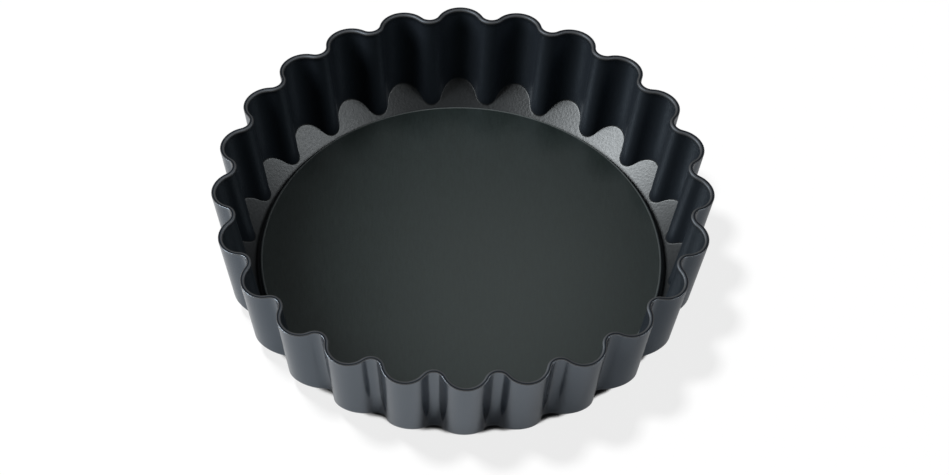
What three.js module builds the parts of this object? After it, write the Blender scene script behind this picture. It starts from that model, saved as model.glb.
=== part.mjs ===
// Loose-bottom fluted pan: a fluted ring of coated sheet steel, and the plate that lies loose in it.
// Millimetres, +Z up. The origin is on the pan's axis, at the level of the table it stands on.

import * as THREE from 'three';

// Ring: flutes and thickened upper edge
const fluteCount = 24;
const ringSheet = 0.7;
const panHeight = 27; // from the table to the upper edge at the roots of the flutes
const edgeDip = 0.8; // how much lower the upper edge is at the crests
const edgeSheet = 1.15; // thickness of the upper edge
const edgeRise = 1.5; // height over which the sheet thickens towards the edge
const rimRadius = 60; // outside of the crests at the upper edge
const rimFluteDepth = 4.4;
const crestShare = 0.71; // crest arc's share of the sum of the crest and root arc radii

// Ring: foot, where the wall carried on down would reach the table
const footRadius = 55.35; // outside of the crests
const footFluteDepth = 4.65;
const footSlope = THREE.MathUtils.degToRad(34.3); // slope of the cone between the ledge and the wall
const ridgeStep = 1.28; // from the roots in to the edge of the flat ledge
const footBend = 0.7; // from the corner of cone and wall to where their bend begins

// Loose plate
const plateSheet = 0.5;
const plateBend = 0.5; // outside radius of the turned-down edge
const plateSkirt = 1.1; // upright part of the edge, below its bend
const plateClearance = 0.7; // between the plate's edge and the edge of the flat ledge
const seatOverlap = 4; // how far the plate reaches over the ledge

// Fineness of the round stretches
const crestSteps = 6;
const rootSteps = 4;
const footBendSteps = 2;
const plateBendSteps = 4;
const plateSides = 96;

// Sizes that follow
const ledgeRadius = footRadius - footFluteDepth - ridgeStep;
const ledgeTopRadius = ledgeRadius - ringSheet * Math.tan(footSlope / 2);
const plateRadius = ledgeTopRadius - plateClearance;
const holeRadius = plateRadius - seatOverlap;
const seatHeight = ringSheet;
const plateTop = seatHeight + plateSkirt + plateBend;

// Radii of the crest and root arcs that meet smoothly between two circles, one flute depth apart
function fluteArcs(crestRadius, depth) {
  const rootRadius = crestRadius - depth;
  const rootShare = 1 - crestShare;
  const fall = 2 * (1 - Math.cos(Math.PI / fluteCount));
  const square = fall * crestShare * rootShare;
  const linear = 2 * depth - fall * (rootShare * crestRadius - crestShare * rootRadius);
  const constant = depth * depth + fall * rootRadius * crestRadius;
  const sum = (2 * constant) / (linear + Math.sqrt(linear * linear + 4 * square * constant));
  return { crestArc: crestShare * sum, rootArc: rootShare * sum };
}

// Fluted outline seen from above, moved inwards by inset. Each point has its nearness to a crest, 0 to 1.
function fluteOutline(crestRadius, depth, inset) {
  const halfPitch = Math.PI / fluteCount;
  const { crestArc, rootArc } = fluteArcs(crestRadius, depth);
  const axis = new THREE.Vector2();
  const crestCentre = new THREE.Vector2(crestRadius - crestArc, 0);
  const rootCentre = new THREE.Vector2(crestRadius - depth + rootArc, 0).rotateAround(axis, halfPitch);
  const meeting = rootCentre.clone().sub(crestCentre).angle();
  const flute = [];
  for (let step = 0; step <= crestSteps; step += 1) {
    const angle = meeting * (2 * step / crestSteps - 1);
    const reach = crestArc - inset;
    flute.push(new THREE.Vector2(reach * Math.cos(angle), reach * Math.sin(angle)).add(crestCentre));
  }
  for (let step = 1; step < rootSteps; step += 1) {
    const angle = Math.PI + meeting + 2 * (halfPitch - meeting) * step / rootSteps;
    const reach = rootArc + inset;
    flute.push(new THREE.Vector2(reach * Math.cos(angle), reach * Math.sin(angle)).add(rootCentre));
  }
  const outline = [];
  for (let index = 0; index < fluteCount; index += 1) {
    for (const point of flute) {
      const crestness = 1 - (crestRadius - inset - point.length()) / depth;
      const turned = point.clone().rotateAround(axis, 2 * halfPitch * index);
      outline.push({ point: turned, crestness });
    }
  }
  return outline;
}

// One side of the sheet as rows of points from the hole, over ledge, cone and wall, to the upper edge.
// Inset 0 is the outside and underside; inset of one sheet is the inside and the ledge's top.
function sheetSide(inset) {
  const foot = fluteOutline(footRadius, footFluteDepth, inset);
  const rim = fluteOutline(rimRadius, rimFluteDepth, inset);
  const coneRun = 1 / Math.tan(footSlope);
  const coneStart = ledgeRadius - inset * Math.tan(footSlope / 2);
  const chains = foot.map(({ point: footPoint }, column) => {
    const { point: rimPoint, crestness } = rim[column];
    const wallFoot = new THREE.Vector3(footPoint.x, footPoint.y, 0);
    const wallTop = new THREE.Vector3(rimPoint.x, rimPoint.y, panHeight - edgeDip * crestness);
    const flare = rimPoint.length() - footPoint.length();
    const share = (footPoint.length() - coneStart + inset * coneRun) / (wallTop.z * coneRun - flare);
    const corner = wallFoot.clone().lerp(wallTop, share);
    const outwards = new THREE.Vector3(corner.x, corner.y, 0).normalize();
    const holeEdge = outwards.clone().multiplyScalar(holeRadius).setZ(inset);
    const coneFoot = outwards.clone().multiplyScalar(coneStart).setZ(inset);
    const bend = Math.min(footBend, corner.distanceTo(coneFoot) / 2);
    const bendStart = corner.clone().add(coneFoot.clone().sub(corner).setLength(bend));
    const bendEnd = corner.clone().add(wallTop.clone().sub(corner).setLength(bend));
    const bendCurve = new THREE.QuadraticBezierCurve3(bendStart, corner, bendEnd);
    return [holeEdge, coneFoot, ...bendCurve.getPoints(footBendSteps), wallTop];
  });
  return chains[0].map((_, row) => chains.map((chain) => chain[row]));
}

// Inner side of the upper edge, from its top down to where the sheet begins to thicken
function edgeSide(wallTops) {
  const edge = fluteOutline(rimRadius, rimFluteDepth, edgeSheet);
  const foot = fluteOutline(footRadius, footFluteDepth, ringSheet);
  const tops = edge.map(({ point, crestness }) => {
    return new THREE.Vector3(point.x, point.y, panHeight - edgeDip * crestness);
  });
  const starts = wallTops.map((wallTop, column) => {
    const wallFoot = new THREE.Vector3(foot[column].point.x, foot[column].point.y, 0);
    return wallTop.clone().lerp(wallFoot, edgeRise / wallTop.z);
  });
  return [tops, starts];
}

// Closed skin around the sheet: out and up one side, over the upper edge, and back down the other
function ringGeometry() {
  const outside = sheetSide(0);
  const inside = sheetSide(ringSheet).reverse();
  const [wallTops, ...wallDown] = inside;
  const rows = [...outside, ...edgeSide(wallTops), ...wallDown];
  const columns = rows[0].length;
  const positions = rows.flat().flatMap((place) => place.toArray());
  const faces = [];
  for (let row = 0; row < rows.length; row += 1) {
    const nextRow = (row + 1) % rows.length;
    for (let column = 0; column < columns; column += 1) {
      const nextColumn = (column + 1) % columns;
      const near = row * columns + column;
      const beside = row * columns + nextColumn;
      const far = nextRow * columns + column;
      const across = nextRow * columns + nextColumn;
      faces.push(near, beside, across, near, across, far);
    }
  }
  const geometry = new THREE.BufferGeometry();
  geometry.setAttribute('position', new THREE.Float32BufferAttribute(positions, 3));
  geometry.setIndex(faces);
  geometry.computeVertexNormals();
  return geometry;
}

// Quarter bend of the plate's edge, from its upright skirt to its flat top
function plateEdge() {
  const places = [];
  for (let step = 0; step <= plateBendSteps; step += 1) {
    const angle = (Math.PI / 2) * (step / plateBendSteps);
    const across = plateRadius - plateBend + plateBend * Math.cos(angle);
    const up = plateTop - plateBend + plateBend * Math.sin(angle);
    places.push(new THREE.Vector2(across, up));
  }
  return places;
}

// Plate with its edge turned down, hollow underneath, standing on the ledge
function plateGeometry() {
  const profile = [
    new THREE.Vector2(0, plateTop - plateSheet),
    new THREE.Vector2(plateRadius - plateSheet, plateTop - plateSheet),
    new THREE.Vector2(plateRadius - plateSheet, seatHeight),
    new THREE.Vector2(plateRadius, seatHeight),
    ...plateEdge(),
    new THREE.Vector2(0, plateTop),
  ];
  return new THREE.LatheGeometry(profile, plateSides).rotateX(Math.PI / 2);
}

const ringCoat = new THREE.MeshStandardMaterial({ color: '#4a4e55', roughness: 0.42, metalness: 0.5 });
const plateCoat = new THREE.MeshStandardMaterial({ color: '#394040', roughness: 0.45, metalness: 0.5 });

const ring = new THREE.Mesh(ringGeometry(), ringCoat);
ring.name = 'fluted_ring';

const plate = new THREE.Mesh(plateGeometry(), plateCoat);
plate.name = 'loose_bottom';

const pan = new THREE.Group();
pan.name = 'loose_bottom_fluted_pan';
pan.add(ring, plate);

export default pan;
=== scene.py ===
"""Looks of the loose-bottom fluted pan: finely rounded ring and plate, coated steel, studio and camera."""

import math

import bmesh
import bpy
from mathutils import Matrix, Vector


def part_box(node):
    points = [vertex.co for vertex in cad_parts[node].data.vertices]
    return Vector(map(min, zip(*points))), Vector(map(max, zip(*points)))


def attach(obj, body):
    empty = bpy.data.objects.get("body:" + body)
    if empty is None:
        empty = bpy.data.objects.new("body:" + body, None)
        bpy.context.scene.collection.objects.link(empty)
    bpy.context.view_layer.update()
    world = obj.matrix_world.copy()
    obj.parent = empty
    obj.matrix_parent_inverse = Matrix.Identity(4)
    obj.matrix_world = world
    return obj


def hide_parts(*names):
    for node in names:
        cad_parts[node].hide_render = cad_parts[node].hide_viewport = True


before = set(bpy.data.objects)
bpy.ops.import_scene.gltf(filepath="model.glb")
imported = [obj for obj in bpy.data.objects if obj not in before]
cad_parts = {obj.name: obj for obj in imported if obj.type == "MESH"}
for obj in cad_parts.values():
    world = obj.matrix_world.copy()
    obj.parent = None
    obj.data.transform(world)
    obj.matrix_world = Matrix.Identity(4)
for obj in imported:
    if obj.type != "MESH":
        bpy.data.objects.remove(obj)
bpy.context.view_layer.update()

MM = 0.001
ring_low, ring_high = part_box("fluted_ring")
plate_low, plate_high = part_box("loose_bottom")

# Ring, as in the solids: flutes, thickened upper edge and foot
FLUTE_COUNT = 24
RING_SHEET = plate_low.z - ring_low.z
PAN_HEIGHT = ring_high.z
EDGE_DIP = 0.8 * MM
EDGE_SHEET = 1.15 * MM
EDGE_RISE = 1.5 * MM
RIM_RADIUS = ring_high.x
RIM_FLUTE_DEPTH = 4.4 * MM
CREST_SHARE = 0.71
FOOT_RADIUS = 55.35 * MM
FOOT_FLUTE_DEPTH = 4.65 * MM
FOOT_SLOPE = math.radians(34.3)
RIDGE_STEP = 1.28 * MM
LEDGE_RADIUS = FOOT_RADIUS - FOOT_FLUTE_DEPTH - RIDGE_STEP

# Plate, as in the solids
PLATE_RADIUS = plate_high.x
PLATE_TOP = plate_high.z
PLATE_SHEET = 0.5 * MM
PLATE_BEND = 0.5 * MM
SEAT_OVERLAP = 4 * MM
HOLE_RADIUS = PLATE_RADIUS - SEAT_OVERLAP

# Bends of the sheet: how far from the sharp corner each one begins
CUT_CORNER_BEND = 0.15 * MM
EDGE_BEND_OUTSIDE = 0.2 * MM
EDGE_BEND_INSIDE = 0.5 * MM
LEDGE_BEND = 0.3 * MM
FOOT_BEND_OUTSIDE = 0.7 * MM
FOOT_BEND_INSIDE = 0.3 * MM

# Fineness. Beside each bend a row of points holds the straight next to it, so that the bend's shading
# doesn't run into it: a short way along, or at most a share of the straight
CREST_STEPS = 18
ROOT_STEPS = 10
BEND_STEPS = 4
BEND_HOLD = 0.1 * MM
WELD_REACH = 0.0001 * MM
BEND_HOLD_LIMIT = 0.25
PLATE_SIDES = 288

# Coats
# Marks paler edges: real wear on the ring's upper edge, a painted highlight along the plate's turned edge
WEAR_AND_HIGHLIGHT = "wear_and_highlight"
RING_WORN = (0.055, 0.054, 0.053)
GRAIN_DETAIL = 3
STREAK_FINENESS = 1 / (0.5 * MM)
STREAK_LENGTH = 5
STREAK_DETAIL = 5
GLOSS_SPREAD = 0.06
BUMP_STRENGTH = 0.5


def flute_arcs(crest_radius, depth):
    """Radii of the crest and root arcs that meet smoothly between two circles one flute depth apart."""
    root_radius = crest_radius - depth
    root_share = 1 - CREST_SHARE
    fall = 2 * (1 - math.cos(math.pi / FLUTE_COUNT))
    square = fall * CREST_SHARE * root_share
    linear = 2 * depth - fall * (root_share * crest_radius - CREST_SHARE * root_radius)
    constant = depth * depth + fall * root_radius * crest_radius
    total = 2 * constant / (linear + math.sqrt(linear * linear + 4 * square * constant))
    return CREST_SHARE * total, root_share * total


def flute_outline(crest_radius, depth, inset):
    """Fluted outline from above, moved inwards by inset: each point with its nearness to a crest, 0 to 1."""
    half_pitch = math.pi / FLUTE_COUNT
    crest_arc, root_arc = flute_arcs(crest_radius, depth)
    crest_centre = Vector((crest_radius - crest_arc, 0))
    root_reach = crest_radius - depth + root_arc
    root_centre = Vector((root_reach * math.cos(half_pitch), root_reach * math.sin(half_pitch)))
    between = root_centre - crest_centre
    meeting = math.atan2(between.y, between.x)
    flute = []
    for step in range(CREST_STEPS + 1):
        angle = meeting * (2 * step / CREST_STEPS - 1)
        flute.append(crest_centre + (crest_arc - inset) * Vector((math.cos(angle), math.sin(angle))))
    for step in range(1, ROOT_STEPS):
        angle = math.pi + meeting + 2 * (half_pitch - meeting) * step / ROOT_STEPS
        flute.append(root_centre + (root_arc + inset) * Vector((math.cos(angle), math.sin(angle))))
    outline = []
    for index in range(FLUTE_COUNT):
        turn = Matrix.Rotation(2 * half_pitch * index, 2)
        for point in flute:
            crestness = 1 - (crest_radius - inset - point.length) / depth
            outline.append((turn @ point, crestness))
    return outline


def sheet_corners(inset, edge_inset):
    """Corners of one side of the sheet, column by column.

    They are the hole, the ledge's edge, the foot, where the sheet begins to thicken, and the upper edge."""
    foot = flute_outline(FOOT_RADIUS, FOOT_FLUTE_DEPTH, inset)
    rim = flute_outline(RIM_RADIUS, RIM_FLUTE_DEPTH, inset)
    edge = flute_outline(RIM_RADIUS, RIM_FLUTE_DEPTH, edge_inset)
    cone_run = 1 / math.tan(FOOT_SLOPE)
    cone_start = LEDGE_RADIUS - inset * math.tan(FOOT_SLOPE / 2)
    columns = []
    for (foot_point, _), (rim_point, crestness), (edge_point, edge_crestness) in zip(foot, rim, edge):
        wall_foot = foot_point.to_3d()
        wall_top = Vector((rim_point.x, rim_point.y, PAN_HEIGHT - EDGE_DIP * crestness))
        flare = rim_point.length - foot_point.length
        share = (foot_point.length - cone_start + inset * cone_run) / (wall_top.z * cone_run - flare)
        corner = wall_foot.lerp(wall_top, share)
        outwards = Vector((corner.x, corner.y, 0)).normalized()
        level = Vector((0, 0, inset))
        edge_start = wall_top.lerp(wall_foot, EDGE_RISE / wall_top.z)
        upper_edge = Vector((edge_point.x, edge_point.y, PAN_HEIGHT - EDGE_DIP * edge_crestness))
        hole_edge = outwards * HOLE_RADIUS + level
        cone_foot = outwards * cone_start + level
        columns.append([hole_edge, cone_foot, corner, edge_start, upper_edge])
    return columns


def rounded_path(corners, bends, straights, closed):
    """Points along corners, each one rounded by its bend, with straights as the steps to the next corner.

    Each point comes with its station: the number of its corner, or a share of the way to the next one."""
    count = len(corners)
    starts = []
    ends = []
    for index, corner in enumerate(corners):
        before = corners[index - 1] - corner
        after = corners[(index + 1) % count] - corner
        reach = min(bends[index], before.length / 2, after.length / 2)
        starts.append(corner + before.normalized() * reach)
        ends.append(corner + after.normalized() * reach)
    path = []
    for index, corner in enumerate(corners):
        bend_steps = BEND_STEPS if bends[index] else 0
        for step in range(bend_steps + 1):
            share = step / bend_steps if bend_steps else 0
            inner = starts[index].lerp(corner, share)
            outer = corner.lerp(ends[index], share)
            path.append((inner.lerp(outer, share), index))
        if closed or index < count - 1:
            next_start = starts[(index + 1) % count]
            hold = min(BEND_HOLD_LIMIT, BEND_HOLD / (next_start - ends[index]).length)
            between = [step / straights[index] for step in range(1, straights[index])]
            for share in (hold, *between, 1 - hold):
                path.append((ends[index].lerp(next_start, share), index + share))
    return path


def round_skin(name, paths, closed, materials, material_at, wear_and_highlight_at):
    """Mesh of equal paths of points, one beside the next, round the axis, welded where they meet."""
    rows = len(paths[0])
    columns = len(paths)
    stations = [station for _, station in paths[0]]
    vertices = [point for path in paths for point, _ in path]
    faces = []
    slots = []
    for column in range(columns):
        beside = (column + 1) % columns
        for row in range(rows if closed else rows - 1):
            above = (row + 1) % rows
            faces.append((
                column * rows + row, beside * rows + row, beside * rows + above, column * rows + above,
            ))
            slots.append(material_at(stations[row]))
    mesh = bpy.data.meshes.new(name)
    mesh.from_pydata(vertices, [], faces)
    for material in materials:
        mesh.materials.append(material)
    mesh.polygons.foreach_set("material_index", slots)
    mesh.polygons.foreach_set("use_smooth", [True] * len(faces))
    wear_and_highlight = mesh.attributes.new(WEAR_AND_HIGHLIGHT, "FLOAT", "POINT")
    wear_and_highlight.data.foreach_set("value", [wear_and_highlight_at(station) for station in stations] * columns)
    welded = bmesh.new()
    welded.from_mesh(mesh)
    bmesh.ops.remove_doubles(welded, verts=welded.verts, dist=WELD_REACH)
    welded.to_mesh(mesh)
    welded.free()
    mesh.update()
    piece = bpy.data.objects.new(name, mesh)
    bpy.context.scene.collection.objects.link(piece)
    return piece


def coat_material(name, colour, pale_edge, roughness, ior, tint, grain_size, grain_height, contrast, streaks=0):
    """Coated sheet steel: dark coat with fine grain and streaks along Y; marked edges are paler, worn on the
    ring, a painted highlight on the plate.
    """
    material = bpy.data.materials.new(name)
    material.use_nodes = True
    nodes = material.node_tree.nodes
    links = material.node_tree.links
    shader = nodes["Principled BSDF"]
    shader.inputs["IOR"].default_value = ior
    shader.inputs["Specular Tint"].default_value = (*tint, 1)
    place = nodes.new("ShaderNodeTexCoord")
    grain = nodes.new("ShaderNodeTexNoise")
    grain.inputs["Scale"].default_value = 1 / grain_size
    grain.inputs["Detail"].default_value = GRAIN_DETAIL
    links.new(place.outputs["Object"], grain.inputs["Vector"])
    stretch = nodes.new("ShaderNodeMapping")
    along_streak = STREAK_FINENESS / STREAK_LENGTH
    stretch.inputs["Scale"].default_value = (STREAK_FINENESS, along_streak, STREAK_FINENESS)
    links.new(place.outputs["Object"], stretch.inputs["Vector"])
    streak = nodes.new("ShaderNodeTexNoise")
    streak.inputs["Scale"].default_value = 1
    streak.inputs["Detail"].default_value = STREAK_DETAIL
    links.new(stretch.outputs["Vector"], streak.inputs["Vector"])
    pattern = nodes.new("ShaderNodeMix")
    pattern.inputs["Factor"].default_value = streaks
    links.new(grain.outputs["Fac"], pattern.inputs["A"])
    links.new(streak.outputs["Fac"], pattern.inputs["B"])
    coat = nodes.new("ShaderNodeMixRGB")
    coat.inputs["Color1"].default_value = (*[(1 - contrast) * part for part in colour], 1)
    coat.inputs["Color2"].default_value = (*[(1 + contrast) * part for part in colour], 1)
    links.new(pattern.outputs["Result"], coat.inputs["Fac"])
    wear_and_highlight = nodes.new("ShaderNodeAttribute")
    wear_and_highlight.attribute_name = WEAR_AND_HIGHLIGHT
    edge = nodes.new("ShaderNodeMixRGB")
    edge.inputs["Color2"].default_value = (*pale_edge, 1)
    links.new(wear_and_highlight.outputs["Fac"], edge.inputs["Fac"])
    links.new(coat.outputs["Color"], edge.inputs["Color1"])
    links.new(edge.outputs["Color"], shader.inputs["Base Color"])
    gloss = nodes.new("ShaderNodeMapRange")
    gloss.inputs["To Min"].default_value = roughness - GLOSS_SPREAD
    gloss.inputs["To Max"].default_value = roughness + GLOSS_SPREAD
    links.new(pattern.outputs["Result"], gloss.inputs["Value"])
    links.new(gloss.outputs["Result"], shader.inputs["Roughness"])
    bump = nodes.new("ShaderNodeBump")
    bump.inputs["Strength"].default_value = BUMP_STRENGTH
    bump.inputs["Distance"].default_value = grain_height
    links.new(pattern.outputs["Result"], bump.inputs["Height"])
    links.new(bump.outputs["Normal"], shader.inputs["Normal"])
    return material


outer_coat = coat_material(
    "outer_coat", colour=(0.005, 0.007, 0.011), pale_edge=RING_WORN, roughness=0.22, ior=1.87,
    tint=(0.66, 0.82, 1.0), grain_size=0.5 * MM, grain_height=0.01 * MM, contrast=0.35,
)
# The inside of the wall is coloured darker than the outside: painted shade
wall_coat = coat_material(
    "wall_coat", colour=(0.002, 0.003, 0.005), pale_edge=RING_WORN, roughness=0.54, ior=1.8,
    tint=(0.66, 0.82, 1.0), grain_size=0.6 * MM, grain_height=0.05 * MM, contrast=0.35,
)
foot_coat = coat_material(
    "foot_coat", colour=(0.004, 0.005, 0.006), pale_edge=RING_WORN, roughness=0.42, ior=1.8,
    tint=(0.9, 0.96, 0.99), grain_size=0.6 * MM, grain_height=0.085 * MM, contrast=0.35,
)
# The plate's paler edge colour is a painted highlight along its turned edge
plate_coat = coat_material(
    "plate_coat", colour=(0.0135, 0.0198, 0.019), pale_edge=(0.11, 0.125, 0.125), roughness=0.34, ior=1.56,
    tint=(0.95, 1.0, 1.0), grain_size=0.4 * MM, grain_height=0.04 * MM, contrast=0.65, streaks=0.6,
)

# Ring: its path goes out and up the outside, over the upper edge, and back down the inside. Stations count
# its corners: 0 to 4 are those of the outside, 5 to 9 those of the inside
WALL_STEPS = 10
CONE_STEPS = 4
LEDGE_STEPS = 2
EDGE_STEPS = 4
outside_bends = [CUT_CORNER_BEND, LEDGE_BEND, FOOT_BEND_OUTSIDE, EDGE_BEND_INSIDE, EDGE_BEND_OUTSIDE]
inside_bends = [EDGE_BEND_INSIDE, EDGE_BEND_INSIDE, FOOT_BEND_INSIDE, LEDGE_BEND, CUT_CORNER_BEND]
side_steps = [LEDGE_STEPS, CONE_STEPS, WALL_STEPS, 1]
ring_steps = [*side_steps, EDGE_STEPS, *reversed(side_steps), 1]
UPPER_EDGE_STATION = 4.5
INSIDE_FOOT_STATION = 7
WORN_STATIONS = (4, 5)
WEAR_REACH = 0.22
ring_paths = []
for outside, inside in zip(sheet_corners(0, 0), sheet_corners(RING_SHEET, EDGE_SHEET)):
    corners = [*outside, *reversed(inside)]
    ring_paths.append(rounded_path(corners, [*outside_bends, *inside_bends], ring_steps, closed=True))
ring = round_skin(
    "ring_sheet", ring_paths, True, [outer_coat, wall_coat, foot_coat],
    material_at=lambda station: (station >= UPPER_EDGE_STATION) + (station >= INSIDE_FOOT_STATION),
    wear_and_highlight_at=lambda station: max(0, *(1 - abs(station - pale_edge) / WEAR_REACH for pale_edge in WORN_STATIONS)),
)
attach(ring, "ring")
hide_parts("fluted_ring")

# Plate: its path goes from the middle of the underside, down and up the turned edge, to the middle of the top
FLAT_STEPS = 12
plate_inside = PLATE_RADIUS - PLATE_SHEET
plate_profile = [
    (0, PLATE_TOP - PLATE_SHEET), (plate_inside, PLATE_TOP - PLATE_SHEET), (plate_inside, plate_low.z),
    (PLATE_RADIUS, plate_low.z), (PLATE_RADIUS, PLATE_TOP), (0, PLATE_TOP),
]
plate_bends = [0, CUT_CORNER_BEND, CUT_CORNER_BEND, CUT_CORNER_BEND, PLATE_BEND, 0]
plate_steps = [FLAT_STEPS, 1, 1, 1, FLAT_STEPS]
# The turned edge, where the plate's colour is paler: a painted highlight along the bend
PLATE_EDGE_STATION = 4
plate_paths = []
for side in range(PLATE_SIDES):
    angle = 2 * math.pi * side / PLATE_SIDES
    across = Vector((math.cos(angle), math.sin(angle), 0))
    corners = [across * radius + Vector((0, 0, height)) for radius, height in plate_profile]
    plate_paths.append(rounded_path(corners, plate_bends, plate_steps, closed=False))
plate = round_skin(
    "plate_sheet", plate_paths, False, [plate_coat],
    material_at=lambda station: 0,
    wear_and_highlight_at=lambda station: 1 if station == PLATE_EDGE_STATION else 0,
)
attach(plate, "bottom")
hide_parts("loose_bottom")

# Floor: pale and plain. One sheet is what the camera sees, white with the pan's shadow on it. The other,
# just under it, is what the pan reflects, lit by the same lamps as the pan. Both have painted contact shade
# in their glow
FLOOR_SIZE = 6.0
FLOOR_WHITE = 0.85
FLOOR_GLOW_SHARE = 0.82
REFLECTED_GLOW_SHARE = 0.2
# Painted contact shade near the pan, in each floor's glow: how far it reaches and how deep it goes
CONTACT_REACH = 2 * MM
CONTACT_LEAN = (-0.5, 0.1, 0.85)
CONTACT_DARK = 0.4
CONTACT_CLEAR = 0.68
CONTACT_REST = 0
CONTACT_SAMPLES = 16
REFLECTED_CONTACT_REACH = 7 * MM
REFLECTED_CONTACT_DARK = 0.3
REFLECTED_CONTACT_CLEAR = 0.95
REFLECTED_CONTACT_REST = 0.35
REFLECTED_CONTACT_LEAN = (0, 0, 1)
REFLECTED_FLOOR_DROP = 0.02 * MM


def floor_sheet(name, height, glow_share):
    """Wide level sheet of matt white paint that glows by a share, with that glow and its material's nodes."""
    bpy.ops.mesh.primitive_plane_add(size=FLOOR_SIZE, location=(0, 0, height))
    sheet = bpy.context.object
    sheet.name = name
    paint = bpy.data.materials.new(name + "_paint")
    paint.use_nodes = True
    shader = paint.node_tree.nodes["Principled BSDF"]
    shader.inputs["Base Color"].default_value = (FLOOR_WHITE, FLOOR_WHITE, FLOOR_WHITE, 1)
    shader.inputs["Roughness"].default_value = 1
    shader.inputs["Specular IOR Level"].default_value = 0
    glow = paint.node_tree.nodes.new("ShaderNodeEmission")
    mix = paint.node_tree.nodes.new("ShaderNodeMixShader")
    mix.inputs["Fac"].default_value = glow_share
    links = paint.node_tree.links
    links.new(shader.outputs["BSDF"], mix.inputs[1])
    links.new(glow.outputs["Emission"], mix.inputs[2])
    links.new(mix.outputs["Shader"], paint.node_tree.nodes["Material Output"].inputs["Surface"])
    sheet.data.materials.append(paint)
    return sheet, glow, paint.node_tree


def shade_contact(glow, tree, reach, lean, dark, clear, rest):
    """Painted contact shade: dims a floor's glow, down to rest, where the room above it within reach is
    closed off.

    The room is taken around the direction lean, so the painted shade is deeper where what closes it off lies
    that way."""
    contact = tree.nodes.new("ShaderNodeAmbientOcclusion")
    contact.inputs["Distance"].default_value = reach
    contact.samples = CONTACT_SAMPLES
    open_side = tree.nodes.new("ShaderNodeCombineXYZ")
    for axis, part in zip("XYZ", lean):
        open_side.inputs[axis].default_value = part
    tree.links.new(open_side.outputs["Vector"], contact.inputs["Normal"])
    shade = tree.nodes.new("ShaderNodeMapRange")
    shade.interpolation_type = "SMOOTHSTEP"
    shade.inputs["From Min"].default_value = dark
    shade.inputs["From Max"].default_value = clear
    shade.inputs["To Min"].default_value = rest
    tree.links.new(contact.outputs["AO"], shade.inputs["Value"])
    tree.links.new(shade.outputs["Result"], glow.inputs["Strength"])


reflected_floor, reflected_glow, reflected_tree = floor_sheet(
    "reflected_floor", -REFLECTED_FLOOR_DROP, REFLECTED_GLOW_SHARE
)
reflected_floor.visible_camera = False
shade_contact(
    reflected_glow, reflected_tree, REFLECTED_CONTACT_REACH, REFLECTED_CONTACT_LEAN,
    REFLECTED_CONTACT_DARK, REFLECTED_CONTACT_CLEAR, REFLECTED_CONTACT_REST,
)
floor, floor_glow, floor_tree = floor_sheet("floor", 0, FLOOR_GLOW_SHARE)
floor.visible_glossy = False
floor.visible_diffuse = False
floor.visible_shadow = False
shade_contact(floor_glow, floor_tree, CONTACT_REACH, CONTACT_LEAN, CONTACT_DARK, CONTACT_CLEAR, CONTACT_REST)

# World: dim soft light from all round
WORLD_LEVEL = 0.045
world = bpy.data.worlds.new("studio")
bpy.context.scene.world = world
world.use_nodes = True
world.node_tree.nodes["Background"].inputs["Color"].default_value = (1, 1, 1, 1)
world.node_tree.nodes["Background"].inputs["Strength"].default_value = WORLD_LEVEL


def softbox(name, azimuth, elevation, distance, size, level, lit):
    """Square lamp that lights only the objects in lit. Its azimuth runs anticlockwise from +X, in degrees.

    Level 1 lights a white face that is turned to it to white."""
    lamp = bpy.data.lights.new(name, "AREA")
    lamp.size = size
    # On a face turned to the lamp falls energy / (pi * distance ** 2), and white sends 1 / pi of that back
    lamp.energy = level * math.pi ** 2 * distance ** 2
    holder = bpy.data.objects.new(name, lamp)
    flat = math.cos(math.radians(elevation))
    turn = math.radians(azimuth)
    holder.location = distance * Vector((
        flat * math.cos(turn), flat * math.sin(turn), math.sin(math.radians(elevation))
    ))
    holder.rotation_euler = (-holder.location).to_track_quat("-Z", "Y").to_euler()
    bpy.context.scene.collection.objects.link(holder)
    holder.light_linking.receiver_collection = bpy.data.collections.new(name)
    for receiver in lit:
        holder.light_linking.receiver_collection.objects.link(receiver)


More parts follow.
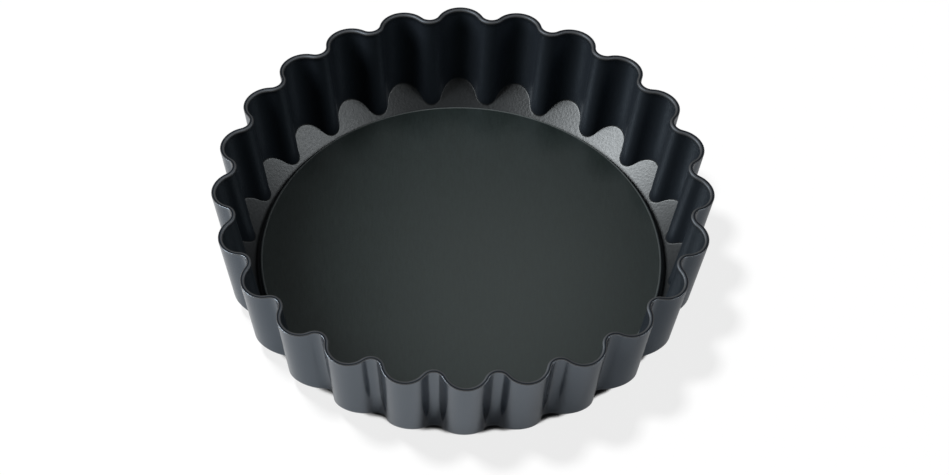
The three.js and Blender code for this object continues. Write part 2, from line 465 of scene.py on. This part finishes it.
pan_and_floor = [ring, plate, reflected_floor]
softbox("left_light", azimuth=185, elevation=39.5, distance=0.7, size=0.33, level=1.25, lit=pan_and_floor)
softbox("right_light", azimuth=-9, elevation=43, distance=0.7, size=0.3, level=0.32, lit=pan_and_floor)
softbox("back_light", azimuth=82, elevation=55, distance=0.22, size=0.07, level=0.042, lit=[plate])
softbox("floor_light", azimuth=160, elevation=70.3, distance=6.0, size=0.84, level=1.25, lit=[floor])

# Camera: the photograph's viewing angle, aimed at where the middle of the picture lies from the rim's centre
PHOTO_WIDTH = 949
FOCAL_PIXELS = 5235
VIEW_ELEVATION = math.radians(49.577)
VIEW_TURN = math.radians(2.05)
VIEW_ROLL = math.radians(1.809)
VIEW_DISTANCE = 1246.2 * MM
AIM_RIGHT = 2.67 * MM
AIM_DOWN = 10.8 * MM
SENSOR_WIDTH = 36
NEAREST_SEEN = 10 * MM
RIM_CENTRE = Vector((0, 0, PAN_HEIGHT - EDGE_DIP / 2))
camera_data = bpy.data.cameras.new("camera")
camera = bpy.data.objects.new("camera", camera_data)
bpy.context.scene.collection.objects.link(camera)
towards = Vector((
    -math.cos(VIEW_ELEVATION) * math.sin(VIEW_TURN),
    -math.cos(VIEW_ELEVATION) * math.cos(VIEW_TURN),
    math.sin(VIEW_ELEVATION),
))
level_right = Vector((0, 0, 1)).cross(towards).normalized()
level_up = towards.cross(level_right)
right = level_right * math.cos(VIEW_ROLL) + level_up * math.sin(VIEW_ROLL)
up = level_up * math.cos(VIEW_ROLL) - level_right * math.sin(VIEW_ROLL)
stand = RIM_CENTRE + towards * VIEW_DISTANCE
back = (stand - (RIM_CENTRE + right * AIM_RIGHT - up * AIM_DOWN)).normalized()
aimed_right = up.cross(back).normalized()
turned = Matrix((aimed_right, back.cross(aimed_right), back)).transposed().to_4x4()
camera.matrix_world = Matrix.Translation(stand) @ turned
camera_data.sensor_width = SENSOR_WIDTH
camera_data.lens = FOCAL_PIXELS * SENSOR_WIDTH / PHOTO_WIDTH
camera_data.clip_start = NEAREST_SEEN
bpy.context.scene.camera = camera
bpy.context.scene.view_settings.view_transform = "Standard"
